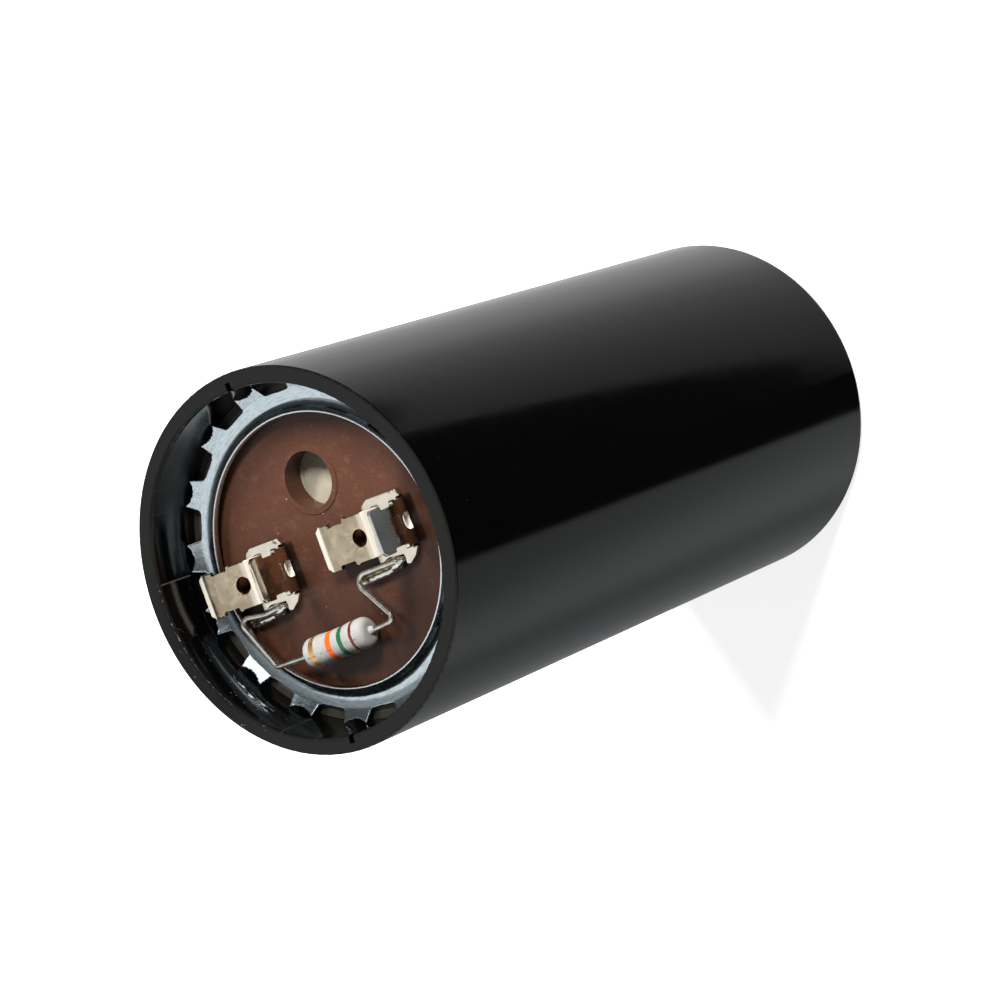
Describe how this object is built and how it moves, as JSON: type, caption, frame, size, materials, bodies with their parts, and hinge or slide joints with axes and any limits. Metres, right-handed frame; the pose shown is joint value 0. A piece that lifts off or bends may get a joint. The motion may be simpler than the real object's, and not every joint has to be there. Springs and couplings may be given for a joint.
{
  "type": "motor start capacitor",
  "caption": "Capped cylindrical motor start capacitor: a moulded cup with push-on tabs, a vent and a bleed resistor sunk below the open rim.",
  "frame": {"origin": "centre of the closed end's outer face", "axes": "+Z along the axis from the closed end to the open end, +X from the left terminal to the right one, +Y towards the vent"},
  "size_m": [0.0524, 0.0524, 0.1111],
  "materials": {
    "case": "black moulded phenolic, gloss wall, satin rim",
    "seal": "pale cream rubber, dull",
    "deck": "reddish brown laminate, finely speckled, semi-gloss",
    "ring": "plated spring steel, bright",
    "terminals": "tinned brass, satin",
    "rivets": "tinned brass",
    "washers": "zinc plated",
    "straps": "bare foil strap",
    "winding": "rolled foil and paper, dull",
    "wrap": "kraft paper",
    "disc": "pressed board",
    "pad": "pressed board",
    "resistor": "light grey lacquer with colour bands",
    "leads": "tinned wire",
    "solder": "bright solder"
  },
  "bodies": {
    "root": {"case": "case", "seal": "seal", "deck": "deck", "retaining_ring": "ring", "left_terminal": "terminals", "right_terminal": "terminals", "left_rivet": "rivets", "right_rivet": "rivets", "left_washer": "washers", "right_washer": "washers", "left_strap": "straps", "right_strap": "straps", "winding": "winding", "winding_wrap": "wrap", "insulating_disc": "disc", "bottom_pad": "pad", "resistor_body": "resistor", "resistor_left_lead": "leads", "resistor_right_lead": "leads", "left_solder": "solder", "right_solder": "solder"}
  },
  "joints": []
}
